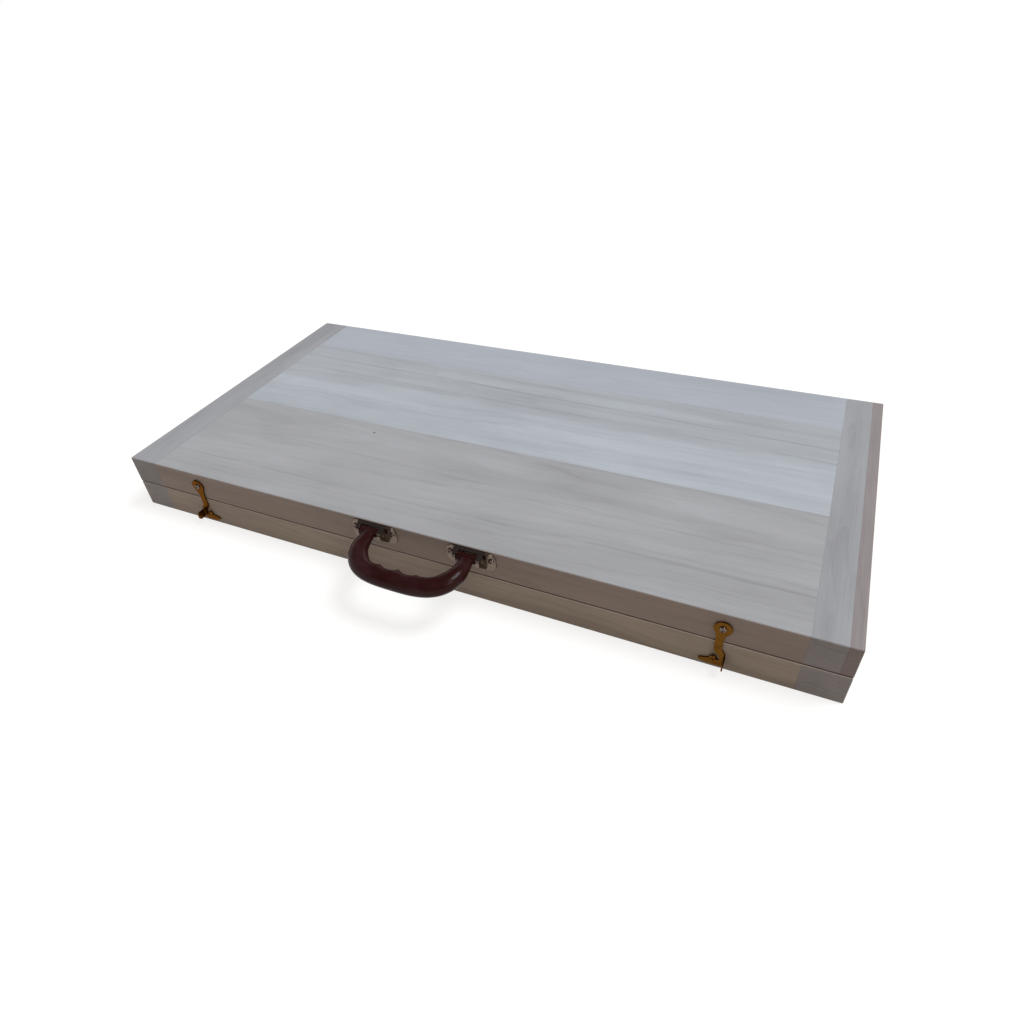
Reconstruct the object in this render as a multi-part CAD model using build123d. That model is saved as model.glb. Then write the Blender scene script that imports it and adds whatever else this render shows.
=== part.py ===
"""Folding disc-toss game board, folded shut like a flat wooden case.

Two framed plank boards lie face to face and are hinged along the back edge. The upper board
carries a moulded finger-grip handle in two stamped saddles and two stamped hooks, which catch
on round-head screws in the lower board.

Millimetres, +Z up. The origin is the centre of the face that the folded board lies on.
X runs along the length and the front, with the handle, faces -Y.
"""
from build123d import *
import math
import os

os.makedirs("parts", exist_ok=True)

# Boards
board_length = 700.0
board_width = 350.0           # one half, front to back
half_thickness = 29.65
parting_gap = 0.7             # the hinges keep the closed halves this far apart
arris = 0.6                   # small chamfer along every outer edge of a half

cleat_width = 34.5            # end cleats, grain across the planks
edging_width = 9.5            # outer strip of the upper right cleat
upper_back_plank = 64.0
upper_middle_plank = 144.0
lower_back_plank = 112.0
lower_middle_plank = 110.0

tongue_length = 15.0          # stub tongue on each plank end
tongue_thickness = 10.0
tongue_stop = 26.0            # the groove ends this far inside the front and back edges
groove_relief = 0.5           # glue room past the tongue's end

# Hinges
hinge_inset = 110.0           # board end to hinge centre
hinge_length = 76.0
knuckle_count = 5
knuckle_radius = 2.75
knuckle_gap = 0.3             # between neighbouring knuckles
knuckle_relief = 0.35         # round the knuckles, in wood and in the other leaf
hinge_pin_radius = 1.25
hinge_pin_overhang = 1.0
leaf_width = 24.0             # hinge axis to the leaf's far edge
leaf_thickness = 1.5
leaf_corner = 2.0
mortise_play = 0.2
back_edge_gap = 0.25          # hinge axis behind the back edges
leaf_screw_setback = 14.5     # hinge axis to the screw row
leaf_screw_spacing = 26.0
leaf_screws = 3
flat_head_radius = 3.3
flat_shank_radius = 1.6
flat_screw_length = 17.0

running_play = 0.05           # radial, where a part turns on a pin
fixed_play = 0.02             # radial, where a pin is held fast

# Handle
handle_centre_x = -0.7        # the handle sits a touch left of the middle
handle_half_span = 48.5       # grip centreline at the pivots
handle_reach = 42.2           # pivot axis to the grip's centreline
handle_squareness = 3.3       # exponent of the grip's rounded-square centreline
pivot_height = 52.9
pivot_standoff = 6.3          # pivot axis in front of the face
grip_outer = 8.7              # centreline to the grip's outer side
grip_inner = 11.2             # and to its inner side, before the finger scoops
grip_half_thickness = 7.4
neck_outer = 6.6              # the same at the barrels
neck_inner = 6.2
neck_half_thickness = 3.9
neck_share = 0.55             # part of the reach over which the neck swells into the grip
inner_swell_lag = 1.6         # above 1 the inner side swells later
barrel_radius = 4.2
barrel_half_length = 9.2
handle_pin_radius = 1.5
handle_droop = 8.0            # degrees below level at rest
finger_pitch = 19.6
finger_depth = 3.3
finger_count = 4
finger_bow = 1.3              # the row of fingers is bowed: its ends stand this much further in
bow_pitches = 2.4             # finger pitches from the middle of the row to where the bow ends
grip_stations = 21            # sections that the grip is lofted through
finger_scoop_flare = 1.15     # the scoop is this much taller than the grip is thick
spool_lip = 0.4               # keeps the scooping spool's edge from running out to nothing

# Saddles that hold the handle
saddle_length = 47.0
saddle_height = 19.3
saddle_corner = 7.5
saddle_sheet = 1.2
saddle_screw_spacing = 39.0
saddle_screw_height = 50.8
saddle_edge_round = 0.6
roof_depth = 4.3              # how far the hood's roof stands out
cheek_depth = 10.8
cheek_foot_half = 15.2        # half width of the hood at the face
cheek_front_half = 12.6       # half width of the hood at its front
hood_bottom_drop = 11.4       # hood's lower edge below the pivot
lug_rise = 3.4                # top of the hood's front above the pivot
lug_drop = 3.0                # bottom of the hood's front below the pivot
roof_round = 1.6
lug_round = 3.2
barrel_play = 0.4             # barrel to roof
slot_play = 0.25              # barrel end to the hood's slot
rivet_proud = 0.3             # handle pin's end past the cheek

# Hooks and catches
hook_inset_right = 92.5       # board end to the right hook's pivot
hook_inset_left = 88.0
hook_pivot_height = 45.5
hook_sheet = 1.2
hook_standoff = 0.3           # hook plate in front of the face
hook_head_radius = 7.0
hook_neck_round = 12.0        # flare from the arm into the head
hook_arm_inner = 4.0          # arm's inner edge inward of the pivot
hook_arm_outer = 2.1          # arm's outer edge outward of the pivot
catch_drop = 33.3             # catch screw below the pivot
catch_shift = 3.0             # catch screw inward of the pivot
catch_play = 0.25             # round the catch screw's shank
inner_bend_rise = 7.5         # where the arm's inner edge turns, above the catch screw
outer_bend_rise = 11.0        # where its outer edge turns
arm_bend_round = 6.0
notch_reach = 1.6             # notch's edge outward of the pivot
notch_rise = 3.2              # notch's top above the catch screw
notch_round = 1.8
heel_reach = 5.9              # heel's outer edge outward of the pivot
heel_rise = 4.8               # heel's top above the catch screw
heel_round = 2.8
foot_length = 14.0            # foot's tip inward of the pivot
foot_depth = 5.8
foot_crest = 6.0              # foot's highest place inward of the pivot
foot_round = 6.0
foot_taper = 6.0              # length of the tip's taper on the under side
foot_slack = 0.2              # keeps the foot's straight top clear of the screw's path
tip_drop = 1.9                # tip below the foot's top
tip_depth = 2.0
tip_round = 0.9
tab_height = 8.4
tab_drop = 0.9                # tab's middle below the catch screw
tab_reach = 10.5              # finger tab's edge in front of the face
tab_corner = 3.2
bend_inner = 0.6

# Round-head screws
round_head_radius = 2.9
round_head_height = 2.0
round_head_dome = 0.72        # share of radius and height at the dome's middle
round_shank_radius = 1.6
round_screw_length = 16.0
hook_head_play = 0.15         # hook plate to screw head
recess_length = 3.2
recess_width = 0.8
recess_depth = 0.9

front_y = -board_width / 2
back_y = board_width / 2
parting_z = half_thickness + parting_gap / 2
upper_z = half_thickness + parting_gap
axis_y = back_y + back_edge_gap
plank_half = board_length / 2 - cleat_width
hook_x_right = board_length / 2 - hook_inset_right
hook_x_left = hook_inset_left - board_length / 2
roof_top = pivot_height + barrel_radius + barrel_play + saddle_sheet
saddle_centre_z = roof_top - saddle_height / 2
hood_bottom = pivot_height - hood_bottom_drop
lug_high = pivot_height + lug_rise
finger_radius = ((finger_pitch / 2) ** 2 + finger_depth ** 2) / (2 * finger_depth)
handle_ends = (handle_centre_x - handle_half_span, handle_centre_x + handle_half_span)
# Sketch on the front face: local x is X, local y is Z, and extrusion goes outward
face = Plane(origin=(0, front_y, 0), x_dir=(1, 0, 0), z_dir=(0, -1, 0))
downward = (Align.CENTER, Align.CENTER, Align.MAX)   # a cylinder hanging from its place


def span(x0, x1, y0, y1, z0, z1):
    """A block between two corners."""
    block = Box(x1 - x0, y1 - y0, z1 - z0)
    return Pos((x0 + x1) / 2, (y0 + y1) / 2, (z0 + z1) / 2) * block


def rod(radius, x0, x1, y, z):
    """A round rod along X."""
    return Pos((x0 + x1) / 2, y, z) * Rot(0, 90, 0) * Cylinder(radius, x1 - x0)


def save(solid, name):
    solid.label = name
    export_step(solid, f"parts/{name}.step")


# Screws

def recess():
    """The cross cut in a screw's head, about its top."""
    arm = Box(recess_length, recess_width, 2 * recess_depth)
    return arm + Rot(0, 0, 90) * arm


def round_screw(shank_above=0.0):
    """Domed screw: the head's underside is at z = shank_above and the axis points outward."""
    with BuildPart() as screw:
        with BuildSketch(Plane.XZ):
            with BuildLine():
                rim = (round_head_radius, shank_above)
                dome = round_head_dome
                mid = (round_head_radius * dome, shank_above + round_head_height * dome)
                top = (0, shank_above + round_head_height)
                ThreePointArc(rim, mid, top)
                tip = -round_screw_length
                Polyline(top, (0, tip), (round_shank_radius, tip + 2 * round_shank_radius),
                         (round_shank_radius, shank_above), rim)
            make_face()
        revolve(axis=Axis.Z)
    head_top = shank_above + round_head_height
    return screw.part - Pos(0, 0, head_top) * recess()


def flat_screw():
    """Countersunk screw: the head's top is at z = 0."""
    cone = flat_head_radius - flat_shank_radius
    with BuildPart() as screw:
        with BuildSketch(Plane.XZ):
            with BuildLine():
                tip = -flat_screw_length
                Polyline((0, 0), (flat_head_radius, 0), (flat_shank_radius, -cone),
                         (flat_shank_radius, tip + 2 * flat_shank_radius), (0, tip), (0, 0))
            make_face()
        revolve(axis=Axis.Z)
    return screw.part - recess()


def on_face(x, z):
    """A place on the front face, with +Z pointing outward."""
    return Location(face) * Pos(x, z, 0)


def face_bore(x, z):
    """The hole that a round-head screw's shank fills in the wood."""
    return on_face(x, z) * Cylinder(round_shank_radius, round_screw_length, align=downward)


# Hinges

def knuckle_spans(first):
    """Every other knuckle along the hinge, from the first one given."""
    pitch = hinge_length / knuckle_count
    for i in range(first, knuckle_count, 2):
        x0 = -hinge_length / 2 + i * pitch
        yield x0 + knuckle_gap / 2, x0 + pitch - knuckle_gap / 2


def screw_row():
    for i in range(leaf_screws):
        yield (i - (leaf_screws - 1) / 2) * leaf_screw_spacing


def leaf(first, play):
    """Lower leaf about the hinge axis at the origin: its plate reaches to -Y, let in flush."""
    top = -parting_gap / 2
    plate = span(-hinge_length / 2, hinge_length / 2, -leaf_width, 0, top - leaf_thickness, top)
    corners = plate.edges().filter_by(Axis.Z).group_by(Axis.Y)[0]
    plate = fillet(corners, leaf_corner)
    reach = knuckle_radius + knuckle_relief
    for x0, x1 in knuckle_spans(1 - first):
        plate -= span(x0 - knuckle_gap, x1 + knuckle_gap, -reach, reach, -reach, reach)
    for x0, x1 in knuckle_spans(first):
        plate += rod(knuckle_radius, x0, x1, 0, 0)
    plate -= rod(hinge_pin_radius + play, -hinge_length, hinge_length, 0, 0)
    cone = flat_head_radius - flat_shank_radius
    sink = Cone(flat_shank_radius, flat_head_radius, cone)
    hole = Cylinder(flat_shank_radius, 4 * leaf_thickness)
    for x in screw_row():
        plate -= Pos(x, -leaf_screw_setback, top - cone / 2) * sink
        plate -= Pos(x, -leaf_screw_setback, top) * hole
    return plate


def leaf_screws_set():
    top = -parting_gap / 2
    return [Pos(x, -leaf_screw_setback, top) * flat_screw() for x in screw_row()]


def hinge_recess():
    """What a hinge takes out of the lower board's inner face, about the hinge axis."""
    half = hinge_length / 2 + mortise_play
    deep = parting_gap / 2 + leaf_thickness
    pocket = span(-half, half, -leaf_width - mortise_play, 1, -deep, 1)
    groove = half + hinge_pin_overhang
    pocket += rod(knuckle_radius + knuckle_relief, -groove, groove, 0, 0)
    cone = flat_head_radius - flat_shank_radius
    sink = Cone(flat_shank_radius, flat_head_radius, cone)
    shank = Cylinder(flat_shank_radius, flat_screw_length, align=downward)
    for x in screw_row():
        pocket += Pos(x, -leaf_screw_setback, -parting_gap / 2) * shank
        pocket += Pos(x, -leaf_screw_setback, -parting_gap / 2 - cone / 2) * sink
    return pocket


def hinge_places():
    x = board_length / 2 - hinge_inset
    return {"left": Pos(-x, axis_y, parting_z), "right": Pos(x, axis_y, parting_z)}


flip = Plane.XY   # the upper leaf is the lower one mirrored in the parting plane


# Boards

def half_envelope(z0):
    whole = span(-board_length / 2, board_length / 2, front_y, back_y, z0, z0 + half_thickness)
    return chamfer(whole.edges(), arris)


def plank(y0, y1, z0, envelope):
    """A plank with a stub tongue on each end, stopped short of the front and back edges."""
    mid = z0 + half_thickness / 2
    t = tongue_thickness / 2
    board = span(-plank_half, plank_half, y0, y1, z0, z0 + half_thickness)
    ty0 = max(y0, front_y + tongue_stop)
    ty1 = min(y1, back_y - tongue_stop)
    end = plank_half + tongue_length
    board += span(-end, end, ty0, ty1, mid - t, mid + t)
    return board & envelope


def cleat(x0, x1, z0, envelope):
    """An end cleat with the stopped groove that takes the tongues."""
    mid = z0 + half_thickness / 2
    t = tongue_thickness / 2
    deep = plank_half + tongue_length + groove_relief
    bar = span(min(x0, x1), max(x0, x1), front_y, back_y, z0, z0 + half_thickness) & envelope
    return bar - span(-deep, deep, front_y + tongue_stop, back_y - tongue_stop, mid - t, mid + t)


def make_boards():
    """All wooden pieces, by node name."""
    low = half_envelope(0)
    up = half_envelope(upper_z)
    end = board_length / 2
    pieces = {}
    y1, y2 = back_y - lower_back_plank, back_y - lower_back_plank - lower_middle_plank
    pieces["lower_back_plank"] = plank(y1, back_y, 0, low)
    pieces["lower_middle_plank"] = plank(y2, y1, 0, low)
    pieces["lower_front_plank"] = plank(front_y, y2, 0, low)
    pieces["lower_left_cleat"] = cleat(-end, -plank_half, 0, low)
    pieces["lower_right_cleat"] = cleat(plank_half, end, 0, low)
    y1, y2 = back_y - upper_back_plank, back_y - upper_back_plank - upper_middle_plank
    pieces["upper_back_plank"] = plank(y1, back_y, upper_z, up)
    pieces["upper_middle_plank"] = plank(y2, y1, upper_z, up)
    pieces["upper_front_plank"] = plank(front_y, y2, upper_z, up)
    pieces["upper_left_cleat"] = cleat(-end, -plank_half, upper_z, up)
    pieces["upper_right_cleat"] = cleat(plank_half, end - edging_width, upper_z, up)
    pieces["upper_right_edging"] = cleat(end - edging_width, end, upper_z, up)

    pocket = hinge_recess()
    for place in hinge_places().values():
        pieces["lower_back_plank"] -= place * pocket
        pieces["upper_back_plank"] -= place * pocket.mirror(flip)
    for x, z in saddle_screw_places() + hook_pivot_places():
        pieces["upper_front_plank"] -= face_bore(x, z)
    for x, z in catch_places():
        pieces["lower_front_plank"] -= face_bore(x, z)
    return pieces


# Handle

def ease(u):
    u = min(max(u, 0.0), 1.0)
    return u * u * (3 - 2 * u)


def grip_station(angle):
    """Centre, in-plane normal and tangent of the rounded-square centreline at an angle."""
    n = handle_squareness
    c, s = math.cos(angle), math.sin(angle)
    r = (abs(c / handle_half_span) ** n + abs(s / handle_reach) ** n) ** (-1 / n)
    x, out = r * c, r * s
    nx = math.copysign(abs(x) ** (n - 1) / handle_half_span ** n, x)
    no = abs(out) ** (n - 1) / handle_reach ** n
    size = math.hypot(nx, no)
    nx, no = nx / size, no / size
    return x, out, nx, no


def inner_side(x):
    """Centreline to the grip's inner side, before the finger scoops."""
    return grip_inner + finger_bow * math.sin(math.pi * x / (bow_pitches * finger_pitch)) ** 2


def grip_section(angle):
    """Oval section of the handle at one station, in the handle's level position."""
    x, out, nx, no = grip_station(angle)
    swell = ease(out / (neck_share * handle_reach))
    late = ease(out / handle_reach) ** inner_swell_lag
    outer = neck_outer + (grip_outer - neck_outer) * swell
    inner = neck_inner + (inner_side(x) - neck_inner) * late
    half_thick = neck_half_thickness + (grip_half_thickness - neck_half_thickness) * swell
    shift = (outer - inner) / 2
    centre = (x + shift * nx, -out - shift * no, 0)
    station = Plane(origin=centre, x_dir=(nx, -no, 0), z_dir=(-no, -nx, 0))
    return station * Ellipse((outer + inner) / 2, half_thick)


def finger_cutter(x):
    """Spool that scoops one finger's place out of the grip's inner side, square to the centreline."""
    n = handle_squareness
    out = handle_reach * (1 - abs(x / handle_half_span) ** n) ** (1 / n)
    x, out, nx, no = grip_station(math.atan2(out, x))
    back_off = inner_side(x) - finger_depth + finger_radius
    width = (grip_outer + inner_side(x)) / 2
    tall = finger_scoop_flare * grip_half_thickness
    outer = finger_radius + width
    profile = Plane.XZ * (Pos(outer / 2, 0) * Rectangle(outer, 2 * tall - spool_lip))
    profile -= Plane.XZ * (Pos(outer, 0) * Ellipse(width, tall))
    return Pos(x - back_off * nx, -out + back_off * no, 0) * revolve(profile, Axis.Z)


def make_handle():
    last = grip_stations - 1
    grip = loft([grip_section(math.pi * i / last) for i in range(grip_stations)])
    grip -= [finger_cutter((i - (finger_count - 1) / 2) * finger_pitch) for i in range(finger_count)]
    for x in (-handle_half_span, handle_half_span):
        grip += rod(barrel_radius, x - barrel_half_length, x + barrel_half_length, 0, 0)
    grip -= rod(handle_pin_radius + running_play, -2 * handle_half_span, 2 * handle_half_span, 0, 0)
    pivot = Pos(handle_centre_x, front_y - pivot_standoff, pivot_height)
    return pivot * Rot(handle_droop, 0, 0) * grip


# Saddles

def cheek_half(depth):
    """Half width of the hood, this far in front of the face."""
    return cheek_foot_half + (cheek_front_half - cheek_foot_half) * depth / cheek_depth


def plan_wedge(inset):
    """Hood block whose cheeks lean in as it stands out, inset by the sheet's thickness."""
    depth = 1.2 * cheek_depth
    foot, front = cheek_half(0) - inset, cheek_half(depth) - inset
    outline = Polyline((-foot, 0), (foot, 0), (front, -depth), (-front, -depth), (-foot, 0))
    return Pos(0, front_y, hood_bottom) * extrude(make_face(outline), roof_top - hood_bottom, dir=(0, 0, 1))


def side_block(corners, rounds):
    """Block across the saddle from a side outline: distance out from the face, then height."""
    line = FilletPolyline(*corners, radius=rounds, close=True)
    side = Plane(origin=(0, front_y, 0), x_dir=(0, -1, 0), z_dir=(-1, 0, 0))
    return extrude(side * make_face(line), cheek_foot_half + 1, both=True)


def hood_outside():
    """Flat roof, a slope down to a rounded lug round the pivot, and an open underside."""
    corners = [(0, roof_top), (roof_depth, roof_top), (cheek_depth, lug_high),
               (cheek_depth, pivot_height - lug_drop), (2 * saddle_sheet, hood_bottom), (0, hood_bottom)]
    return side_block(corners, [0, roof_round, lug_round, lug_round, roof_round, 0])


def hood_inside():
    """The same outline one sheet thickness in, open below."""
    slope = math.atan2(roof_top - lug_high, cheek_depth - roof_depth)
    top = roof_top - saddle_sheet
    front = cheek_depth - saddle_sheet
    bend_out = roof_depth - saddle_sheet * math.tan(slope / 2)
    bend_z = lug_high - saddle_sheet * math.tan((math.pi / 2 - slope) / 2)
    corners = [(-1, hood_bottom), (-1, top), (bend_out, top), (front, bend_z), (front, hood_bottom)]
    return side_block(corners, [0, 0, roof_round - saddle_sheet, lug_round - saddle_sheet, 0])


def make_saddle():
    """A stamped saddle at x = 0: a plate with a hood, slotted for the handle's barrel."""
    plate = face * (Pos(0, saddle_centre_z) * RectangleRounded(saddle_length, saddle_height, saddle_corner))
    saddle = extrude(plate, saddle_sheet)
    saddle = fillet(saddle.edges().group_by(Axis.Y)[0], saddle_edge_round)
    saddle += plan_wedge(0) & hood_outside()
    saddle -= plan_wedge(saddle_sheet) & hood_inside()
    slot = barrel_half_length + slot_play
    saddle -= span(-slot, slot, front_y - 2 * cheek_depth, front_y - roof_depth, hood_bottom, roof_top + 1)
    hole = Cylinder(round_shank_radius + running_play, 4 * saddle_sheet)
    for x in (-saddle_screw_spacing / 2, saddle_screw_spacing / 2):
        saddle -= on_face(x, saddle_screw_height) * hole
    saddle -= rod(handle_pin_radius + fixed_play, -saddle_length, saddle_length,
                  front_y - pivot_standoff, pivot_height)
    return saddle


def make_handle_pin():
    """Rivet pin through both cheeks, at x = 0."""
    half = cheek_half(pivot_standoff - handle_pin_radius) + rivet_proud
    pin = rod(handle_pin_radius, -half, half, front_y - pivot_standoff, pivot_height)
    return chamfer(pin.edges().filter_by(GeomType.CIRCLE), rivet_proud)


def saddle_screw_places():
    half = saddle_screw_spacing / 2
    return [(c + s * half, saddle_screw_height) for c in handle_ends for s in (-1, 1)]


# Hooks

def hook_pivot_places():
    return [(hook_x_left, hook_pivot_height), (hook_x_right, hook_pivot_height)]


def catch_places():
    z = hook_pivot_height - catch_drop
    return [(hook_x_left + catch_shift, z), (hook_x_right - catch_shift, z)]


def hook_outline():
    """Right-hand hook about its pivot: head, arm, bend round the catch screw, heel and foot."""
    # The foot's top passes under the catch screw's shank as the hook swings on its pivot
    path = math.hypot(catch_shift, catch_drop) + round_shank_radius + catch_play + foot_slack
    top = -math.sqrt(path ** 2 - notch_reach ** 2)
    crest = -math.sqrt(path ** 2 - foot_crest ** 2)
    tip = top - tip_drop
    sole = -path - foot_depth
    corners = [
        ((-hook_arm_inner, 0), 0),
        ((-hook_arm_inner, inner_bend_rise - catch_drop), arm_bend_round),
        ((notch_reach, notch_rise - catch_drop), arm_bend_round),
        ((notch_reach, top), notch_round),
        ((-foot_crest, crest), foot_round),
        ((-foot_length, tip), tip_round),
        ((-foot_length, tip - tip_depth), tip_round),
        ((-foot_length + foot_taper, sole), foot_round),
        ((heel_reach, sole), heel_round),
        ((heel_reach, heel_rise - catch_drop), arm_bend_round),
        ((hook_arm_outer, outer_bend_rise - catch_drop), arm_bend_round),
        ((hook_arm_outer, 0), 0),
    ]
    line = FilletPolyline(*[p for p, _ in corners], radius=[r for _, r in corners], close=True)
    plate = make_face(line) + Circle(hook_head_radius)
    # The neck's two corners are where the arm's edges leave the head
    neck = []
    for edge_x in (-hook_arm_inner, hook_arm_outer):
        corner = Vector(edge_x, -math.sqrt(hook_head_radius ** 2 - edge_x ** 2), 0)
        neck.append(plate.vertices().sort_by_distance(corner)[0])
    return fillet(neck, hook_neck_round)


def finger_tab():
    """Bent-out tab on the heel: an L of sheet, standing out from the plate's edge."""
    back, front = hook_standoff, hook_standoff + hook_sheet
    inside = heel_reach - hook_sheet
    root = inside - 2 * bend_inner
    corners = [
        ((root, back), 0),
        ((heel_reach, back), bend_inner + hook_sheet),
        ((heel_reach, tab_reach), 0),
        ((inside, tab_reach), 0),
        ((inside, front), bend_inner),
        ((root, front), 0),
    ]
    line = FilletPolyline(*[p for p, _ in corners], radius=[r for _, r in corners], close=True)
    # The profile lies in plan: local x is X and local y is the distance out from the face
    plan = Plane(origin=(0, 0, 0), x_dir=(1, 0, 0), z_dir=(0, 0, -1))
    tab = extrude(plan * make_face(line), tab_height / 2, both=True)
    ends = tab.edges().filter_by(Axis.X).group_by(Axis.Y)[0]
    return fillet(ends, tab_corner)


def make_hook(side):
    """side is 1 for the right hook and -1 for the left, each bending away from the centre."""
    plate = extrude(Plane.XZ * hook_outline(), hook_sheet)
    plate = Pos(0, -hook_standoff, 0) * plate
    middle = -catch_drop - tab_drop
    root = heel_reach - hook_sheet - 2 * bend_inner
    z0, z1 = middle - tab_height / 2, middle + tab_height / 2
    plate -= span(root, heel_reach + 1, -3 * hook_sheet, 1, z0, z1)
    plate += Pos(0, 0, middle) * finger_tab()
    plate -= Rot(90, 0, 0) * Cylinder(round_shank_radius + running_play, 8 * hook_sheet)
    if side < 0:
        plate = plate.mirror(Plane.YZ)
    x = hook_x_right if side > 0 else hook_x_left
    return Pos(x, front_y, hook_pivot_height) * plate


# All pieces

for name, piece in make_boards().items():
    save(piece, name)

for side, place in hinge_places().items():
    save(place * leaf(0, fixed_play), f"{side}_hinge_lower_leaf")
    save(place * leaf(1, running_play).mirror(flip), f"{side}_hinge_upper_leaf")
    end = hinge_length / 2 + hinge_pin_overhang
    pin = chamfer(rod(hinge_pin_radius, -end, end, 0, 0).edges().filter_by(GeomType.CIRCLE), 0.4)
    save(place * pin, f"{side}_hinge_pin")

low_screws = [place * s for place in hinge_places().values() for s in leaf_screws_set()]
up_screws = [place * s.mirror(flip) for place in hinge_places().values() for s in leaf_screws_set()]
save(Compound(children=low_screws), "lower_hinge_screws")
save(Compound(children=up_screws), "upper_hinge_screws")

save(make_handle(), "handle_grip")
saddle = make_saddle()
save(Pos(handle_ends[0], 0, 0) * saddle, "left_handle_saddle")
save(Pos(handle_ends[1], 0, 0) * saddle, "right_handle_saddle")
pins = [Pos(x, 0, 0) * make_handle_pin() for x in handle_ends]
save(Compound(children=pins), "handle_pins")
screws = [on_face(x, z) * round_screw(saddle_sheet) for x, z in saddle_screw_places()]
save(Compound(children=screws), "saddle_screws")

save(make_hook(1), "right_hook")
save(make_hook(-1), "left_hook")
over_hook = hook_standoff + hook_sheet + hook_head_play
screws = [on_face(x, z) * round_screw(over_hook) for x, z in hook_pivot_places()]
save(Compound(children=screws), "hook_pivot_screws")
screws = [on_face(x, z) * round_screw(over_hook) for x, z in catch_places()]
save(Compound(children=screws), "catch_screws")
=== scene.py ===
"""Looks of the folding disc-toss game board: bare poplar planks and cleats, a moulded handle in
nickel-plated saddles, brass-plated hooks and zinc-plated hinges."""

import math

import bmesh
import bpy
from mathutils import Matrix, Vector


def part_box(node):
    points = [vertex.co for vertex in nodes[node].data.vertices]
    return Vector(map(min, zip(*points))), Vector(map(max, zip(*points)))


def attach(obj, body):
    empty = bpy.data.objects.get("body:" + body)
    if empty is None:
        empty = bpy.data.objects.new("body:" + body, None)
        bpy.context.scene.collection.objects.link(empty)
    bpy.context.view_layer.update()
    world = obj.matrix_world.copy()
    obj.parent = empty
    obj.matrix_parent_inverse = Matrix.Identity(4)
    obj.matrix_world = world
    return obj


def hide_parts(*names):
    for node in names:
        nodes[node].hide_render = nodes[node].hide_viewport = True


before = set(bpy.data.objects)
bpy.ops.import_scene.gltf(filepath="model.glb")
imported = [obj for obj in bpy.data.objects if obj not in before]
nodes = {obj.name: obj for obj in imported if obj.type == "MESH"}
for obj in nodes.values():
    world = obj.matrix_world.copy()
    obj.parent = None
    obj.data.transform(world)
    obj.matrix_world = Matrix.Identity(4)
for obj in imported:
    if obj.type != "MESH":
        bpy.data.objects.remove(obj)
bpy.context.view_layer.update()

MM = 0.001


# Node trees

def add_node(tree, kind, **settings):
    node = tree.nodes.new(kind)
    for key, value in settings.items():
        setattr(node, key, value)
    return node


def fill(tree, socket, value):
    """Joins a socket to the one given, or sets it to a plain value."""
    if isinstance(value, bpy.types.NodeSocket):
        tree.links.new(value, socket)
    else:
        socket.default_value = value


# Colours, written as they look on screen

def seen(red, green, blue):
    """A colour from 0-255 screen values, as linear light."""
    out = []
    for value in (red, green, blue):
        v = value / 255
        out.append(v / 12.92 if v <= 0.04045 else ((v + 0.055) / 1.055) ** 2.4)
    return (*out, 1.0)


def shade(colour, share):
    """A screen colour, with its light cut to a share."""
    red, green, blue, _ = seen(*colour)
    return red * share, green * share, blue * share, 1.0


# A short way to write a material's nodes

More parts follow.
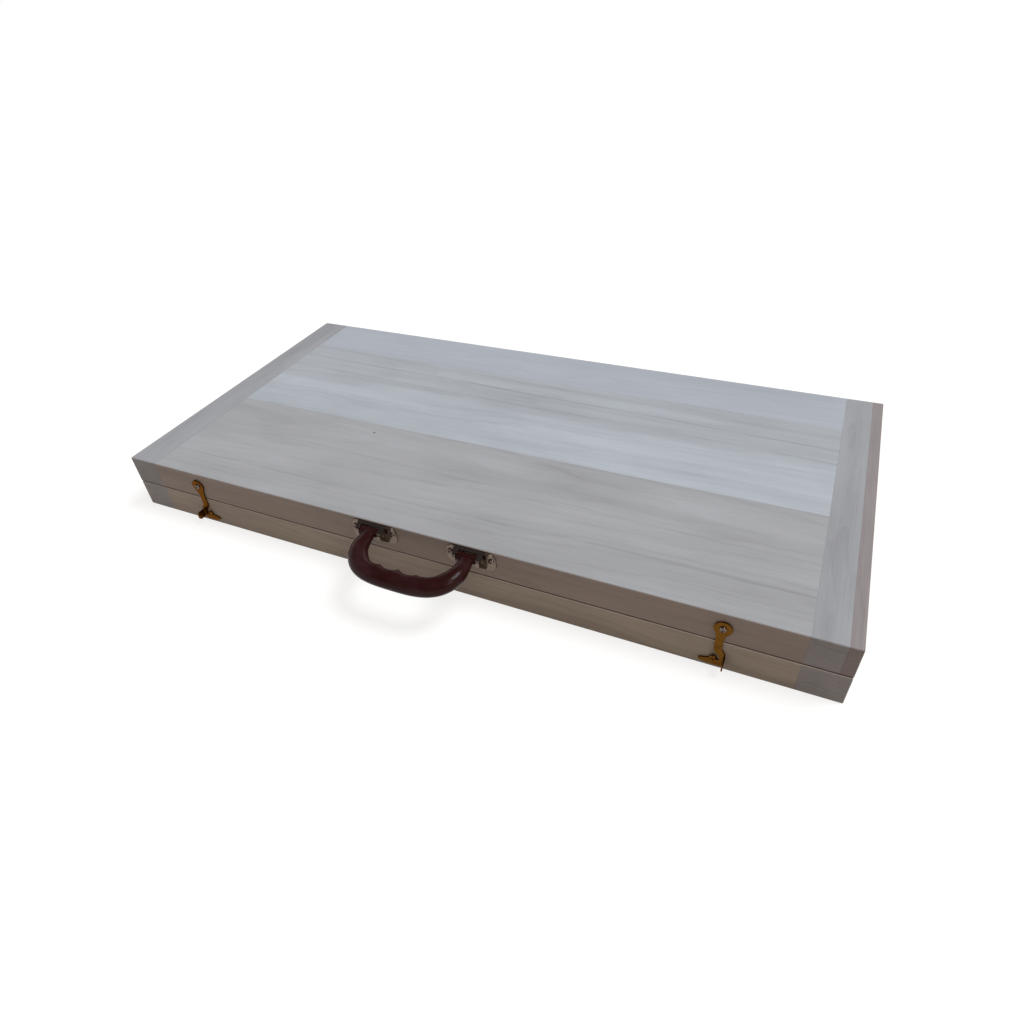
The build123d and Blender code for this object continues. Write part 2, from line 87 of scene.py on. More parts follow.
class Finish:
    """A material whose pattern is worked out on the object's own coordinates, in millimetres."""

    def __init__(self, name):
        self.material = bpy.data.materials.new(name)
        self.material.use_nodes = True
        self.tree = self.material.node_tree
        self.tree.nodes.clear()
        self.shader = self.add("ShaderNodeBsdfPrincipled")
        output = self.add("ShaderNodeOutputMaterial")
        self.put(output.inputs["Surface"], self.shader.outputs["BSDF"])
        self.coordinates = self.add("ShaderNodeTexCoord")
        self.normal = self.coordinates.outputs["Normal"]

    def add(self, kind, **settings):
        return add_node(self.tree, kind, **settings)

    def put(self, socket, value):
        fill(self.tree, socket, value)

    def place(self, scale=(1, 1, 1), turn=(0, 0, 0), shift=(0, 0, 0)):
        """The object's coordinates in millimetres, turned, then scaled and shifted."""
        turned = self.add("ShaderNodeMapping")
        self.put(turned.inputs["Vector"], self.coordinates.outputs["Object"])
        self.put(turned.inputs["Rotation"], turn)
        self.put(turned.inputs["Scale"], (1000, 1000, 1000))
        scaled = self.add("ShaderNodeMapping")
        self.put(scaled.inputs["Vector"], turned.outputs["Vector"])
        self.put(scaled.inputs["Scale"], scale)
        self.put(scaled.inputs["Location"], shift)
        return scaled.outputs["Vector"]

    def math(self, operation, a, b=0.0, clamp=False):
        node = self.add("ShaderNodeMath", operation=operation, use_clamp=clamp)
        self.put(node.inputs[0], a)
        self.put(node.inputs[1], b)
        return node.outputs[0]

    def total(self, first, *others):
        for other in others:
            first = self.math("ADD", first, other)
        return first

    def swing(self, noise, amount):
        """A noise about its middle, as wide as the amount."""
        return self.math("MULTIPLY", self.math("SUBTRACT", noise, 0.5), amount)

    def vector(self, operation, a, b=(0, 0, 0)):
        node = self.add("ShaderNodeVectorMath", operation=operation)
        self.put(node.inputs[0], a)
        self.put(node.inputs[1], b)
        return node.outputs["Value" if operation in ("LENGTH", "DOT_PRODUCT") else "Vector"]

    def split(self, vector):
        node = self.add("ShaderNodeSeparateXYZ")
        self.put(node.inputs[0], vector)
        return node.outputs

    def noise(self, vector, detail, roughness=0.5, distortion=0.0):
        node = self.add("ShaderNodeTexNoise")
        for key, value in (("Vector", vector), ("Scale", 1.0), ("Detail", detail),
                           ("Roughness", roughness), ("Distortion", distortion)):
            self.put(node.inputs[key], value)
        return node.outputs["Fac"]

    def line_noise(self, value, scale):
        """Noise along one number."""
        node = self.add("ShaderNodeTexNoise", noise_dimensions="1D")
        for key, number in (("W", value), ("Scale", scale), ("Detail", 2.0)):
            self.put(node.inputs[key], number)
        return node.outputs["Fac"]

    def span(self, value, low, high, out_low=0.0, out_high=1.0):
        """The stretch from low to high, eased into the stretch from out_low to out_high."""
        node = self.add("ShaderNodeMapRange", interpolation_type="SMOOTHSTEP")
        for key, number in (("Value", value), ("From Min", low), ("From Max", high),
                            ("To Min", out_low), ("To Max", out_high)):
            self.put(node.inputs[key], number)
        return node.outputs["Result"]

    def window(self, value, start, full, fading, gone):
        """1 between full and fading, and 0 before start and after gone."""
        return self.math("MULTIPLY", self.span(value, start, full),
                         self.span(value, fading, gone, 1.0, 0.0))

    def ramp(self, value, stops):
        node = self.add("ShaderNodeValToRGB")
        self.put(node.inputs["Fac"], value)
        marks = node.color_ramp.elements
        while len(marks) < len(stops):
            marks.new(0.5)
        for mark, (place, level) in zip(marks, stops):
            mark.position = place
            mark.color = (level, level, level, 1)
        return node.outputs["Color"]

    def mix(self, share, a, b, blend="MIX"):
        node = self.add("ShaderNodeMix", data_type="RGBA", blend_type=blend)
        self.put(node.inputs["Factor"], share)
        self.put(node.inputs[6], a)
        self.put(node.inputs[7], b)
        return node.outputs[2]

    def bump(self, height, strength, distance):
        node = self.add("ShaderNodeBump")
        for key, value in (("Height", height), ("Strength", strength), ("Distance", distance)):
            self.put(node.inputs[key], value)
        self.put(self.shader.inputs["Normal"], node.outputs["Normal"])

    def surface(self, **values):
        for key, value in values.items():
            self.put(self.shader.inputs[key.replace("_", " ")], value)


# Bare poplar. Places are in millimetres from the middle of the folded board's lower face

PARTING = 30.0                      # height at which the two boards meet
BOARD_GAP = 0.7                     # between their inner faces
NEAR_END, NEAR_EDGE = 349.4, 174.4  # just inside the board's outline, along and across
LATE_WOOD = [(0.0, 0.15), (0.12, 0.0), (0.62, 0.22), (0.93, 1.0), (1.0, 0.15)]  # through one ring

# painted warm shade for the boards' sides
SIDE_SHADE = seen(210, 183, 163)
# the same painted warm shade, yellower, for the lower front plank's sides
SIDE_SHADE_YELLOW = seen(232, 206, 184)
END_GRAIN = seen(208, 194, 184)
STREAK = seen(157, 159, 160)
DARK_LINE = seen(126, 128, 130)
GLUE = seen(96, 84, 76)
FLECK = seen(70, 58, 50)
# painted highlight for the lower board's upper arris
ARRIS_HIGHLIGHT = seen(214, 196, 180)
# painted shade for the parting line
PARTING_SHADE = seen(60, 34, 26)


def poplar(name, grain, pale, line, pith, taper, ring, shift, rings, threads=0.2, fine=1.0,
           clouds=1.0, streak=None, lines=(), glued=(), speck=None, edge=SIDE_SHADE):
    """Bare sanded poplar, cut from a log whose growth rings lie round its pith.

    grain is X or Y. pith gives the log's axis across the grain and up. taper makes the rings run
    out into long arches, and ring is the width of one. shift gives each board its own pattern.
    rings, threads, clouds and fine are the weights of the rings, dark threads, soft broad patches,
    and fibres with pores. streak is a darker band: middle, half width and share. lines lists
    single long dark lines: place across, slope and share. glued lists the places across the board
    of its glued faces. speck is the place of a small dark fleck. edge tints the sides with a
    painted warm shade.
    """
    f = Finish(name)
    turn = (0, 0, 0) if grain == "X" else (0, 0, math.radians(-90))
    wood = f.place(turn=turn)
    along, across, _ = f.split(wood)

    def grained(lengthways, crossways, offset, detail, **settings):
        """Noise drawn out along the grain. Its scales are in waves to the millimetre."""
        place = f.place(turn=turn, scale=(lengthways, crossways, crossways),
                        shift=[shift * part for part in offset])
        return f.noise(place, detail=detail, **settings)

    # The rings: distance from the pith, waved a little along the board
    wave = grained(0.0045, 0.022, (1, 0, 1), 2.5)
    curl = grained(0.02, 0.05, (0, 1, 0), 2)
    from_pith = f.vector("SUBTRACT", wood, (0, *pith))
    radius = f.vector("LENGTH", f.vector("MULTIPLY", from_pith, (0, 1, 1)))
    radius = f.total(radius, f.math("MULTIPLY", along, taper), f.swing(wave, 26.0),
                     f.swing(curl, 5.0))
    count = f.math("DIVIDE", radius, ring)
    count = f.math("ADD", count, f.math("MULTIPLY", f.line_noise(count, 0.35), 1.6))
    late = f.ramp(f.math("FRACT", count), LATE_WOOD)
    strength = f.line_noise(f.math("FLOOR", count), 0.83)
    late = f.math("MULTIPLY", late, f.span(strength, 0.3, 0.7, 0.25, 1.0))

    # Fibres and pores run along the grain
    fibre = grained(0.014, 0.9, (1, 1, 0), 3, roughness=0.6)
    band = grained(0.0022, 0.06, (0, 1, 1), 2.5)
    thread = grained(0.0045, 0.42, (1, 0, 1), 3, roughness=0.65, distortion=0.4)
    thread = f.span(thread, 0.54, 0.76)
    cloud = grained(0.008, 0.022, (1, 0, 0), 4, roughness=0.6)
    pore = f.span(grained(0.16, 2.6, (0, 0, 1), 2, roughness=0.7), 0.60, 0.74)

    # End grain shows on the faces that the grain runs into
    end = f.vector("DOT_PRODUCT", f.normal, (1, 0, 0) if grain == "X" else (0, 1, 0))
    end = f.math("MULTIPLY", end, end)
    side = f.vector("DOT_PRODUCT", f.normal, (0, 0, 1))
    side = f.math("SUBTRACT", 1.0, f.math("MULTIPLY", side, side), clamp=True)

    # Each pattern darkens the wood by its share, counted from the level that adds nothing
    tone = 0.16
    for pattern, nothing, share in (
            (late, 0.0, rings), (fibre, 0.5, 0.45 * fine), (band, 0.5, 0.6),
            (thread, 0.0, threads), (cloud, 0.5, clouds), (pore, 0.0, 0.12 * fine),
            (f.math("MULTIPLY", end, late), 0.0, 0.16)):
        part = f.math("MULTIPLY", f.math("SUBTRACT", pattern, nothing), share)
        tone = f.math("ADD", part, tone)
    colour = f.mix(f.math("MAXIMUM", tone, 0.0, clamp=True), pale, line)

    if streak:
        middle, half, share = streak
        place = f.math("ADD", across, f.swing(wave, 70.0))
        inside = f.math("ABSOLUTE", f.math("SUBTRACT", place, middle))
        inside = f.span(inside, half * 0.55, half * 1.15, share, 0.0)
        patch = f.math("ADD", f.math("MULTIPLY", thread, 0.3), f.span(band, 0.35, 0.7, 0.55, 1.0))
        colour = f.mix(f.math("MULTIPLY", inside, patch, clamp=True), colour, STREAK)

    for where, slope, share in lines:
        path = f.math("ADD", where, f.math("MULTIPLY", along, slope))
        path = f.math("ADD", path, f.swing(wave, 14.0))
        away = f.math("ABSOLUTE", f.math("SUBTRACT", across, path))
        broken = f.line_noise(f.math("ADD", along, where), 0.012)
        line_share = f.math("MULTIPLY", f.span(away, 0.3, 2.2, share, 0.0),
                            f.span(broken, 0.3, 0.6, 0.3, 1.0))
        colour = f.mix(line_share, colour, DARK_LINE)

    # The sides are painted browner than the sanded faces, a painted warm shade, and end grain is
    # darker and stays grey
    brown = f.mix(1.0, colour, edge, blend="MULTIPLY")
    colour = f.mix(f.math("SUBTRACT", side, end, clamp=True), colour, brown)
    dark = f.mix(1.0, colour, END_GRAIN, blend="MULTIPLY")
    colour = f.mix(end, colour, dark)

    # A thin line of glue shows at each joint, and more at the board's sides than on its face
    for where in glued:
        seam = f.math("ABSOLUTE", f.math("SUBTRACT", across, where))
        glue = f.math("MULTIPLY", f.span(seam, 0.0, 0.55, 1.0, 0.0),
                      f.span(side, 0.0, 1.0, 0.24, 0.46))
        colour = f.mix(glue, colour, GLUE)
    if speck:
        from_speck = f.vector("SUBTRACT", wood, (*speck, 0))
        away = f.vector("LENGTH", f.vector("MULTIPLY", from_speck, (0.6, 1, 0)))
        colour = f.mix(f.span(away, 0.5, 1.5, 0.75, 0.0), colour, FLECK)

    # A painted highlight along the lower board's upper arris, pale as if lit from above
    x, y, z = f.split(f.place())
    arris = f.math("MULTIPLY", f.window(side, 0.25, 0.45, 0.55, 0.75),
                   f.window(z, PARTING - 1.1, PARTING - 1.0, PARTING - 0.3, PARTING - 0.2))
    colour = f.mix(f.math("MULTIPLY", arris, 0.85), colour, ARRIS_HIGHLIGHT)

    # Painted shade in the parting line: on the upper board's lower arris, and just inside on the
    # lower board
    outside = f.math("MAXIMUM", f.math("SUBTRACT", f.math("ABSOLUTE", y), NEAR_EDGE),
                     f.math("SUBTRACT", f.math("ABSOLUTE", x), NEAR_END))
    above = f.math("MULTIPLY", f.window(z, PARTING, PARTING + 0.1, PARTING + 1.2, PARTING + 1.8),
                   f.span(outside, -2.5, -1.5))
    below = f.math("MULTIPLY", f.window(z, PARTING - 0.45, PARTING - 0.4, PARTING - 0.1, PARTING),
                   f.span(outside, -3.5, -1.5))
    parting_shade = f.math("MULTIPLY", f.math("MAXIMUM", above, below), 0.85)
    colour = f.mix(parting_shade, colour, PARTING_SHADE)

    height = f.math("ADD", f.math("MULTIPLY", fibre, 0.8 * fine), f.math("MULTIPLY", late, -0.35))
    height = f.math("SUBTRACT", height, f.math("MULTIPLY", pore, 0.6))
    f.bump(height, 0.22, 0.4 * MM)
    f.surface(Base_Color=colour, Roughness=f.span(fibre, 0.2, 0.8, 0.50, 0.66), IOR=1.45)
    return f.material


# Metals and plastic

def plated(name, colour, tarnish, roughness, wear, brushed=0.0, slanted=(1, 1, 1)):
    """Bright plating over stamped steel, with faint stains, fine scratches and rubbed places.

    slanted tints what the plating mirrors at a slant, where it would otherwise turn white.
    """
    f = Finish(name)
    stain = f.noise(f.place(scale=(0.16, 0.16, 0.16)), detail=4, roughness=0.62)
    fleck = f.noise(f.place(scale=(1.3, 1.3, 1.3)), detail=3, roughness=0.6)
    scratch = f.noise(f.place(scale=(0.25, 5.0, 9.0), turn=(0.3, 0.5, 0.4)), detail=3,
                      roughness=0.7)
    base = f.mix(f.math("MULTIPLY", f.span(stain, 0.42, 0.72), wear), colour, tarnish)
    base = f.mix(f.span(fleck, 0.55, 0.8, 0.0, 0.35), base, tarnish)
    rough = f.math("ADD", f.span(stain, 0.35, 0.7, roughness, roughness + 0.14),
                   f.span(scratch, 0.5, 0.8, 0.0, 0.10 + brushed))
    height = f.math("ADD", f.math("MULTIPLY", scratch, 0.3 + brushed), stain)
    f.bump(height, 0.10 + 0.4 * brushed, 0.2 * MM)
    f.surface(Base_Color=base, Metallic=1.0, Roughness=rough, Specular_Tint=(*slanted, 1))
    return f.material


def moulded_plastic(name):
    """Dark red-brown plastic, faintly clouded, with pale lilac patches that are painted sheen, and
    the fine grain of its mould.
    """
    f = Finish(name)
    flow_and_sheen = f.noise(f.place(scale=(0.03, 0.05, 0.05)), detail=2)
    grain = f.noise(f.place(scale=(1.5, 1.5, 1.5)), detail=3, roughness=0.6)
    # the pale lilac colour of the patches is painted sheen
    base = f.mix(f.span(flow_and_sheen, 0.42, 0.66), seen(44, 16, 13), seen(57, 31, 33))
    base = f.mix(f.span(grain, 0.45, 0.75, 0.0, 0.5), base, seen(31, 12, 12))
    f.bump(grain, 0.16, 0.3 * MM)
    rough = f.span(grain, 0.3, 0.75, 0.18, 0.34)
    f.surface(Base_Color=base, Roughness=rough, IOR=1.5, Specular_IOR_Level=0.11)
    return f.material


# The boards' finishes. Back plank palest, middle plank streaked, front plank warmer

UPPER_BACK_SEAM, UPPER_FRONT_SEAM = 111, -33
LOWER_BACK_SEAM, LOWER_FRONT_SEAM = 63, -47
CLEAT_SEAM = 315.5   # from the middle of the board to each cleat
EDGING_SEAM = 340.5  # and to the strip outside the right cleat

cool = seen(181, 186, 195)
plain = seen(187, 192, 200)
warm = seen(174, 174, 177)
grey_line = seen(134, 136, 139)
warm_line = seen(130, 129, 129)

woods = {
    "upper_back_plank": poplar(
        "poplar_upper_back", "X", cool, seen(150, 153, 159), pith=(190, -60), taper=0.02, ring=7,
        shift=3.1, rings=0.15, threads=0.1, clouds=0.5, glued=[UPPER_BACK_SEAM]),
    "upper_middle_plank": poplar(
        "poplar_upper_middle", "X", plain, grey_line, pith=(75, 5), taper=0.035, ring=6,
        shift=11.7, rings=0.15, threads=0.14, clouds=0.7, streak=(84, 44, 0.38),
        lines=[(79, -0.025, 0.36), (54, -0.02, 0.26), (101, -0.03, 0.2)],
        glued=[UPPER_BACK_SEAM, UPPER_FRONT_SEAM]),
    "upper_front_plank": poplar(
        "poplar_upper_front", "X", warm, warm_line, pith=(-66, 12), taper=0.045, ring=7,
        shift=23.9, rings=0.17, threads=0.07, fine=1.1, clouds=0.8,
        lines=[(-92, -0.015, 0.2), (-138, 0.01, 0.25)], speck=(-129, -48),
        glued=[UPPER_FRONT_SEAM]),
    "lower_back_plank": poplar(
        "poplar_lower_back", "X", plain, grey_line, pith=(120, -40), taper=0.03, ring=6,
        shift=31.3, rings=0.3, glued=[LOWER_BACK_SEAM]),
    "lower_middle_plank": poplar(
        "poplar_lower_middle", "X", cool, grey_line, pith=(5, 70), taper=-0.03, ring=6.5,
        shift=43.1, rings=0.3, glued=[LOWER_BACK_SEAM, LOWER_FRONT_SEAM]),
    "lower_front_plank": poplar(
        "poplar_lower_front", "X", seen(177, 176, 175), warm_line, pith=(-110, -30), taper=0.04,
        ring=6, shift=57.7, rings=0.3, glued=[LOWER_FRONT_SEAM], edge=SIDE_SHADE_YELLOW),
}

# A cleat's grain runs along Y, so that -X is across it. The end is -1 on the left, 1 on the right
for name, end, pith_height, shift, tone in (
        ("lower_left_cleat", -1, -30, 61.0, 1.07),
        ("lower_right_cleat", 1, -30, 67.0, 1.0),
        ("upper_left_cleat", -1, 95, 71.0, 0.92),
        ("upper_right_cleat", 1, 95, 79.0, 0.92)):
    seams = [-end * CLEAT_SEAM]
    if name == "upper_right_cleat":
        seams.append(-EDGING_SEAM)
    woods[name] = poplar(
        "poplar_" + name, "Y", shade((172, 172, 176), tone), shade((128, 128, 131), tone),
        pith=(-end * 332, pith_height), taper=0.02, ring=4.5, shift=shift, rings=0.17,
        threads=0.1, fine=1.1, clouds=0.7, glued=seams)
woods["upper_right_edging"] = poplar(
    "poplar_edging", "Y", seen(155, 147, 147), seen(124, 113, 111), pith=(-300, 20), taper=0.02,
    ring=4.0, shift=83.0, rings=0.2, threads=0.12, fine=1.2, glued=[-EDGING_SEAM])

# The nickel's colour is painted darker and browner than bright nickel, a painted reflection of
# brown surroundings
nickel = plated("nickel_plate", seen(112, 98, 89), seen(78, 63, 54), 0.11, wear=0.3)
brass = plated("brass_plate", seen(97, 65, 22), seen(64, 40, 13), 0.18, wear=0.5,
               slanted=(0.72, 0.52, 0.5))
zinc = plated("zinc_plate", seen(160, 161, 159), seen(118, 116, 108), 0.34, wear=0.6,
              brushed=0.12)
plastic = moulded_plastic("handle_moulding")


def dress(node, material):
    """Gives a CAD node its finish."""
    mesh = nodes[node].data
    mesh.materials.clear()
    mesh.materials.append(material)


for node, material in woods.items():
    dress(node, material)


# Stampings and the handle: the CAD shape, with its sharp edges broken

STAMPED_SADDLE = 0.03  # width of each round in millimetres. On the stampings a wider one throws
STAMPED_HOOK = 0.04    # spikes out of the short edges at the tabs
MOULDED = 0.18
SHARP = math.radians(32)
FLAT = math.radians(0.4)


def clean_copy(node):
    """A node's mesh as one closed shell, with the triangles of each flat face joined."""
    shell = bmesh.new()
    shell.from_mesh(nodes[node].data)
    bmesh.ops.remove_doubles(shell, verts=shell.verts, dist=0.002 * MM)
    bmesh.ops.dissolve_degenerate(shell, edges=shell.edges, dist=0.001 * MM)
    mesh = bpy.data.meshes.new(node)
    shell.verts.index_update()
    points = [v.co.copy() for v in shell.verts]
    faces = [[v.index for v in face.verts] for face in shell.faces]
    shell.free()
    mesh.from_pydata(points, [], faces)

    shell = bmesh.new()
    shell.from_mesh(mesh)
    bmesh.ops.dissolve_limit(shell, angle_limit=FLAT, verts=shell.verts, edges=shell.edges)
    shell.to_mesh(mesh)
    shell.free()
    return mesh


def baked(piece):
    """Turns the piece and its modifiers into plain mesh."""
    graph = bpy.context.evaluated_depsgraph_get()
    mesh = bpy.data.meshes.new_from_object(piece.evaluated_get(graph))
    piece.modifiers.clear()
    old = piece.data
    piece.data = mesh
    bpy.data.meshes.remove(old)
    mesh.name = piece.name


def placed(name, data):
    """A new object in the scene, at the origin."""
    thing = bpy.data.objects.new(name, data)
    bpy.context.scene.collection.objects.link(thing)
    return thing


def broken_edges(node, name, material, width):
    """A node's shape with a small round along every sharp edge, as plating or a mould leaves it."""
    mesh = clean_copy(node)
    mesh.materials.append(material)
    for face in mesh.polygons:
        face.use_smooth = True
    piece = placed(name, mesh)
    bevel = piece.modifiers.new("edge", "BEVEL")
    bevel.width = width * MM
    bevel.segments = 2
    bevel.limit_method = "ANGLE"
    bevel.angle_limit = SHARP
    bevel.use_clamp_overlap = False
    bevel.harden_normals = True
    baked(piece)
    return piece


def stands_for(piece, body, replaced):
    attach(piece, body)
    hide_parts(replaced)


for side in ("left", "right"):
    node = f"{side}_handle_saddle"
    saddle = broken_edges(node, f"{side}_saddle_stamping", nickel, STAMPED_SADDLE)
    stands_for(saddle, "upper_board", node)
    node = f"{side}_hook"
    hook = broken_edges(node, f"{side}_hook_stamping", brass, STAMPED_HOOK)
    stands_for(hook, f"{side}_hook", node)
    for leaf in ("lower", "upper"):
        dress(f"{side}_hinge_{leaf}_leaf", zinc)
    dress(f"{side}_hinge_pin", zinc)
dress("handle_pins", nickel)

handle = broken_edges("handle_grip", "handle_moulding", plastic, MOULDED)
stands_for(handle, "handle", "handle_grip")


# Screws, set out by a node tree

ROUND_HEAD = 2.9      # radii and lengths in millimetres
SUNK_HEAD = 3.3
SHANK = 16            # length in the wood
HINGE_SHANK = 15.3
HEAD_SIDES = 40
SHANK_SIDES = 24


def screw_tree():
    """Screws on points: a domed or a countersunk head with a cross recess, a shank and a point."""
    tree = bpy.data.node_groups.new("screws", "GeometryNodeTree")
    face = tree.interface
    face.new_socket("Geometry", in_out="INPUT", socket_type="NodeSocketGeometry")
    for name, kind, value in (
            ("Head Radius", "Float", ROUND_HEAD * MM), ("Head Height", "Float", 2.0 * MM),
            ("Countersunk", "Bool", False), ("Shank Radius", "Float", 1.6 * MM),
            ("Shank Length", "Float", SHANK * MM), ("Recess Length", "Float", 3.2 * MM),
            ("Recess Width", "Float", 0.8 * MM), ("Recess Depth", "Float", 0.9 * MM),
            ("Facing", "Vector", (0, 0, 0)), ("Seed", "Int", 1), ("Plating", "Material", None)):
        socket = face.new_socket(name, in_out="INPUT", socket_type="NodeSocket" + kind)
        if value is not None:
            socket.default_value = value
    face.new_socket("Geometry", in_out="OUTPUT", socket_type="NodeSocketGeometry")

    def add(kind, values=(), **settings):
        """A node, with its settings and the values of its inputs."""
        node = add_node(tree, kind, **settings)
        for key, value in dict(values).items():
            fill(tree, node.inputs[key], value)
        return node

    def number(operation, a, b):
        return add("ShaderNodeMath", {0: a, 1: b}, operation=operation).outputs[0]

    def triple(x, y, z):
        return add("ShaderNodeCombineXYZ", {0: x, 1: y, 2: z}).outputs[0]

    def moved(mesh, **changes):
        return add("GeometryNodeTransform", {"Geometry": mesh, **changes}).outputs[0]

    def lowered(mesh, height):
        return moved(mesh, Translation=triple(0, 0, height))

    def block(size, place):
        cube = add("GeometryNodeMeshCube", {"Size": size})
        return moved(cube.outputs["Mesh"], Translation=place)

    def cut(mesh, *tools):
        node = add("GeometryNodeMeshBoolean", {"Mesh 1": mesh}, operation="DIFFERENCE")
        for tool in tools:
            tree.links.new(tool, node.inputs["Mesh 2"])
        return node.outputs["Mesh"]

    def if_sunk(kind, sunk, domed):
        values = {"Switch": into["Countersunk"], "True": sunk, "False": domed}
        return add("GeometryNodeSwitch", values, input_type=kind).outputs[0]

    into = add("NodeGroupInput").outputs
    radius, height, thick = into["Head Radius"], into["Head Height"], into["Shank Radius"]

    # The head: a dome that stands on the surface, or a cone sunk into it, with a cross cut in
    ball = add("GeometryNodeMeshUVSphere", {"Segments": HEAD_SIDES, "Rings": 20, "Radius": 1})
    dome = moved(ball.outputs["Mesh"], Scale=triple(radius, radius, height))
    depth = number("SUBTRACT", radius, thick)
    cone = add("GeometryNodeMeshCone", {
        "Vertices": HEAD_SIDES, "Radius Top": radius, "Radius Bottom": thick, "Depth": depth})
    sunk_by = number("MULTIPLY", depth, -1)
    sunk = lowered(cone.outputs["Mesh"], sunk_by)

    wide = number("MULTIPLY", radius, 4)
    underside = block(triple(wide, wide, wide), triple(0, 0, number("MULTIPLY", radius, -2)))
    deep = number("MULTIPLY", into["Recess Depth"], 2)
    top = triple(0, 0, if_sunk("FLOAT", 0, height))
    cross = (block(triple(into["Recess Length"], into["Recess Width"], deep), top),
             block(triple(into["Recess Width"], into["Recess Length"], deep), top))
    head = if_sunk("GEOMETRY", cut(sunk, *cross), cut(dome, underside, *cross))

    # The shank and its point
    neck = if_sunk("FLOAT", sunk_by, 0)
    point = number("MULTIPLY", thick, 2)
    straight = number("SUBTRACT", into["Shank Length"], point)
    shank = add("GeometryNodeMeshCylinder", {
        "Vertices": SHANK_SIDES, "Radius": thick, "Depth": straight})
    shank = lowered(shank.outputs["Mesh"],
                    number("ADD", neck, number("MULTIPLY", straight, -0.5)))
    tip = add("GeometryNodeMeshCone", {
        "Vertices": SHANK_SIDES, "Radius Top": thick, "Radius Bottom": 0, "Depth": point})
    tip = lowered(tip.outputs["Mesh"], number("SUBTRACT", neck, into["Shank Length"]))
    screw = add("GeometryNodeJoinGeometry")
    for mesh in (head, shank, tip):
        tree.links.new(mesh, screw.inputs[0])

    # One screw at each point, each turned by its own angle
    facing = add("FunctionNodeEulerToRotation", {0: into["Facing"]})
    angle = add("FunctionNodeRandomValue", {3: math.pi / 2, "Seed": into["Seed"]},
                data_type="FLOAT")
    about = add("FunctionNodeEulerToRotation", {0: triple(0, 0, angle.outputs[1])})
    turned = add("FunctionNodeRotateRotation", {0: facing.outputs[0], 1: about.outputs[0]},
                 rotation_space="LOCAL")
    copies = add("GeometryNodeInstanceOnPoints", {
        "Points": into["Geometry"], "Instance": screw.outputs[0], "Rotation": turned.outputs[0]})
    real = add("GeometryNodeRealizeInstances", {0: copies.outputs[0]})
    finish = add("GeometryNodeSetMaterial", {
        "Geometry": real.outputs[0], "Material": into["Plating"]})
    add("NodeGroupOutput", {0: finish.outputs[0]})
    return tree


screws = screw_tree()


def set_screws(name, places, material, seed, **sizes):
    """A plain mesh of screws, one at each place, given in millimetres."""
    mesh = bpy.data.meshes.new(name)
    mesh.from_pydata([Vector(p) * MM for p in places], [], [])
    piece = placed(name, mesh)
    layout = piece.modifiers.new("screws", "NODES")
    layout.node_group = screws
    values = {"Plating": material, "Seed": seed}
    values.update({key.replace("_", " "): value for key, value in sizes.items()})
    for item in screws.interface.items_tree:
        if item.item_type == "SOCKET" and item.in_out == "INPUT" and item.name in values:
            layout[item.identifier] = values[item.name]
    baked(piece)
    for face in piece.data.polygons:
        face.use_smooth = True
    piece.data.set_sharp_from_angle(angle=math.radians(38))
    return piece


def middle(node):
    """The middle of a node's box, in millimetres."""
    low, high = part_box(node)
    return (low + high) / 2 / MM


def screw_pair(node):
    """The x of a pair's two round-head screws, in millimetres."""
    low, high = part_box(node)
    return low.x / MM + ROUND_HEAD, high.x / MM - ROUND_HEAD


# The front's screws, each with what its head stands on: a saddle's sheet, or a hook with its play
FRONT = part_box("upper_front_plank")[0].y / MM
SADDLE_SHEET = 1.2
OVER_HOOK = 1.65
EAR_SCREW = 19.5  # from the middle of a saddle to each of its screws

outward = (math.pi / 2, 0, 0)
saddle_x = [middle(f"{side}_handle_saddle").x for side in ("left", "right")]
for name, node, body, slot, plating, stands_on, seed, places_x in (
        ("saddle_screw_set", "saddle_screws", "upper_board", "saddle_nickel", nickel,
         SADDLE_SHEET, 5, [x + s * EAR_SCREW for x in saddle_x for s in (-1, 1)]),
        ("pivot_screw_set", "hook_pivot_screws", "upper_board", "saddle_nickel", nickel,
         OVER_HOOK, 9, screw_pair("hook_pivot_screws")),
        ("catch_screw_set", "catch_screws", "lower_board", "hook_brass", brass,
         OVER_HOOK, 13, screw_pair("catch_screws"))):
    places = [(x, FRONT - stands_on, middle(node).z) for x in places_x]
    pieces = set_screws(name, places, plating, seed, Facing=outward,
                        Shank_Length=(SHANK + stands_on) * MM)
    stands_for(pieces, body, node)

# The hinges' screws: three in a row on each leaf, flush with the boards' inner faces
HINGE_X = 240
HINGE_ROW = 26
HINGE_SCREW_Y = 160.75
for leaf, gap, facing, seed in (("lower", -BOARD_GAP, (0, 0, 0), 17),
                                ("upper", BOARD_GAP, (math.pi, 0, 0), 21)):
    places = [(x + row * HINGE_ROW, HINGE_SCREW_Y, PARTING + gap / 2)
              for x in (-HINGE_X, HINGE_X) for row in (-1, 0, 1)]
    pieces = set_screws(f"{leaf}_hinge_screw_set", places, zinc, seed, Facing=facing,
                        Countersunk=True, Head_Radius=SUNK_HEAD * MM,
                        Shank_Length=HINGE_SHANK * MM)
    stands_for(pieces, f"{leaf}_board", f"{leaf}_hinge_screws")


# Studio: pale floor, white background, soft light from above and behind

WHITE = (1, 1, 1, 1)
PAPER = (0.60, 0.58, 0.55, 1)
AMBIENT = (0.305, 0.296, 0.283, 1)
CEILING = (0.15, 0.15, 0.165, 1)
FLOOR_HALF = 9.0       # metres
FLOOR_HEIGHT = -0.0003  # just under the board, so that the two faces never share a place
FLOOR_GLOW, GLOW_SHARE = 1.55, 0.5
CEILING_STARTS, CEILING_FULL = 0.30, 0.56  # height of a direction, from 0 level to 1 straight up


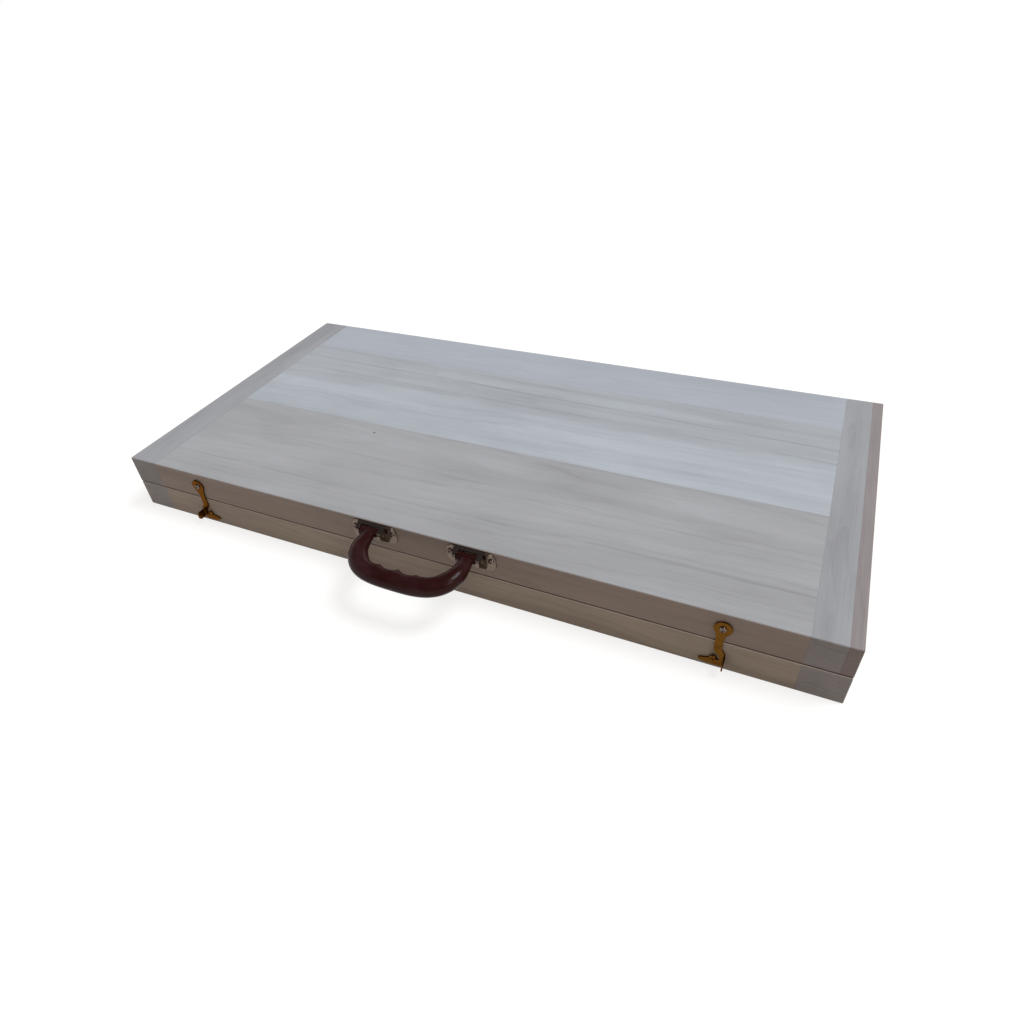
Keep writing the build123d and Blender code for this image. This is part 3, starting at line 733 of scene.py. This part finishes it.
def white_for_looking(tree):
    """1 for camera, glossy and transmission rays, and 0 for the rest."""
    path = add_node(tree, "ShaderNodeLightPath")
    last = path.outputs["Is Camera Ray"]
    for ray in ("Is Glossy Ray", "Is Transmission Ray"):
        either = add_node(tree, "ShaderNodeMath", operation="MAXIMUM")
        fill(tree, either.inputs[0], last)
        fill(tree, either.inputs[1], path.outputs[ray])
        last = either.outputs[0]
    return last


def studio_floor():
    """White to look at, and pale paper to the light, so that it keeps the object's shadow."""
    mesh = bpy.data.meshes.new("studio_floor")
    corners = [(x * FLOOR_HALF, y * FLOOR_HALF, FLOOR_HEIGHT)
               for x, y in ((-1, -1), (1, -1), (1, 1), (-1, 1))]
    mesh.from_pydata(corners, [], [(0, 1, 2, 3)])
    floor = placed("studio_floor", mesh)
    material = bpy.data.materials.new("floor_paper")
    material.use_nodes = True
    tree = material.node_tree
    tree.nodes.clear()
    paper = add_node(tree, "ShaderNodeBsdfDiffuse")
    fill(tree, paper.inputs["Color"], PAPER)
    glow = add_node(tree, "ShaderNodeEmission")
    fill(tree, glow.inputs["Strength"], FLOOR_GLOW)
    share = add_node(tree, "ShaderNodeMath", operation="MULTIPLY")
    fill(tree, share.inputs[0], white_for_looking(tree))
    fill(tree, share.inputs[1], GLOW_SHARE)
    both = add_node(tree, "ShaderNodeMixShader")
    for socket, part in zip(both.inputs, (share, paper, glow)):
        fill(tree, socket, part.outputs[0])
    output = add_node(tree, "ShaderNodeOutputMaterial")
    fill(tree, output.inputs["Surface"], both.outputs[0])
    mesh.materials.append(material)


def studio_world():
    """A soft room: white to look at, with a dim ceiling in reflections, and dimmer as a light."""
    world = bpy.data.worlds.new("studio")
    bpy.context.scene.world = world
    world.use_nodes = True
    tree = world.node_tree
    tree.nodes.clear()

    def mix(share, a, b):
        node = add_node(tree, "ShaderNodeMix", data_type="RGBA")
        fill(tree, node.inputs["Factor"], share)
        fill(tree, node.inputs[6], a)
        fill(tree, node.inputs[7], b)
        return node.outputs[2]

    direction = add_node(tree, "ShaderNodeTexCoord").outputs["Generated"]
    parts = add_node(tree, "ShaderNodeSeparateXYZ")
    fill(tree, parts.inputs[0], direction)
    height = add_node(tree, "ShaderNodeMapRange", interpolation_type="SMOOTHSTEP")
    for key, value in (("Value", parts.outputs["Z"]), ("From Min", CEILING_STARTS),
                       ("From Max", CEILING_FULL)):
        fill(tree, height.inputs[key], value)
    room = mix(height.outputs["Result"], WHITE, CEILING)
    light = mix(white_for_looking(tree), AMBIENT, room)
    camera_ray = add_node(tree, "ShaderNodeLightPath").outputs["Is Camera Ray"]
    background = add_node(tree, "ShaderNodeBackground")
    fill(tree, background.inputs["Color"], mix(camera_ray, light, WHITE))
    output = add_node(tree, "ShaderNodeOutputWorld")
    fill(tree, output.inputs["Surface"], background.outputs[0])


def lamp(name, kind, place, aim, colour, power, **settings):
    data = bpy.data.lights.new(name, kind)
    data.color = colour
    data.energy = power
    for key, value in settings.items():
        setattr(data, key, value)
    light = placed(name, data)
    light.location = place
    light.rotation_euler = (Vector(aim) - Vector(place)).to_track_quat("-Z", "Y").to_euler()


studio_floor()
studio_world()
lamp("window", "SUN", (1.2, 0.5, 2.4), (0, 0, 0), (0.94, 0.97, 1.0), 2.2, angle=math.radians(24))
lamp("side_panel", "AREA", (1.3, -0.7, 1.5), (0.1, -0.15, 0.05), (1.0, 0.98, 0.95), 4,
     shape="RECTANGLE", size=0.4, size_y=0.7)


# Camera, at the photograph's place

PICTURE = 1024        # pixels, in width and in height
FOCAL_LENGTH = 687.1  # pixels
AIM = (498, 525)      # the pixel that the lens points at
SENSOR = 36           # millimetres


def photo_camera():
    """The camera, in the place and with the turn that fit the board's corners in the picture."""
    right = Vector((0.907, 0.417, -0.063))
    ahead = Vector((-0.357, 0.680, -0.640)).normalized()
    right = (right - ahead * right.dot(ahead)).normalized()
    above = right.cross(ahead)
    data = bpy.data.cameras.new("camera")
    data.sensor_width = SENSOR
    data.lens = FOCAL_LENGTH / PICTURE * SENSOR
    data.shift_x = (PICTURE / 2 - AIM[0]) / PICTURE
    data.shift_y = (AIM[1] - PICTURE / 2) / PICTURE
    data.clip_start = 0.01
    data.clip_end = 100
    camera = placed("camera", data)
    stand = Matrix((right, above, -ahead)).transposed().to_4x4()
    stand.translation = Vector((0.2707, -0.5462, 0.4418))
    camera.matrix_world = stand
    bpy.context.scene.camera = camera


photo_camera()
bpy.context.scene.view_settings.view_transform = "Standard"
